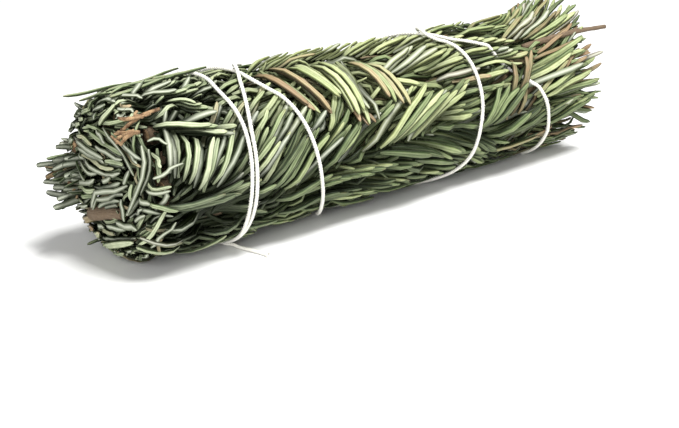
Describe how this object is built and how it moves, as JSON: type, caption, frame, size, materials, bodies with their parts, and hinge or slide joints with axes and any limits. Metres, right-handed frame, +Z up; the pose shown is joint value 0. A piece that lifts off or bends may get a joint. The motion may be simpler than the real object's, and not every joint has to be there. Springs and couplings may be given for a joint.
{
  "type": "rosemary smudge stick",
  "caption": "Bundle of leafy rosemary sprigs laid side by side and wound with thin cotton string, lying on its side; cut stem ends at one end, leaf tips at the other.",
  "frame": {"origin": "centre of the bundle's outline on the surface that it lies on", "axes": "+X along the bundle from its cut stem ends to its leaf tips, +Z up"},
  "size_m": [0.14, 0.0369, 0.0372],
  "materials": {
    "needle_leaf": "dried, slightly waxy grey-green needle leaves with pale undersides, on thin brown stems",
    "dry_leaf": "older, brown and brittle needle leaves",
    "stem_wood": "woody stems, matt brown bark with tan cut ends",
    "cotton_string": "twisted off-white cotton string, slightly fuzzy"
  },
  "bodies": {
    "root": {"outer_sprig_1": "needle_leaf", "outer_sprig_2": "needle_leaf", "outer_sprig_3": "needle_leaf", "outer_sprig_4": "needle_leaf", "outer_sprig_5": "needle_leaf", "outer_sprig_6": "needle_leaf", "outer_sprig_7": "needle_leaf", "under_sprig_1": "needle_leaf", "under_sprig_2": "dry_leaf", "under_sprig_3": "needle_leaf", "under_sprig_4": "needle_leaf", "under_sprig_5": "dry_leaf", "under_sprig_6": "needle_leaf", "under_sprig_7": "needle_leaf", "inner_sprig_1": "needle_leaf", "inner_sprig_2": "needle_leaf", "inner_sprig_3": "needle_leaf", "inner_sprig_4": "needle_leaf", "inner_sprig_5": "needle_leaf", "inner_sprig_6": "needle_leaf", "heart_sprig": "needle_leaf", "curled_sprig": "needle_leaf", "cotton_string": "cotton_string"}
  },
  "joints": []
}
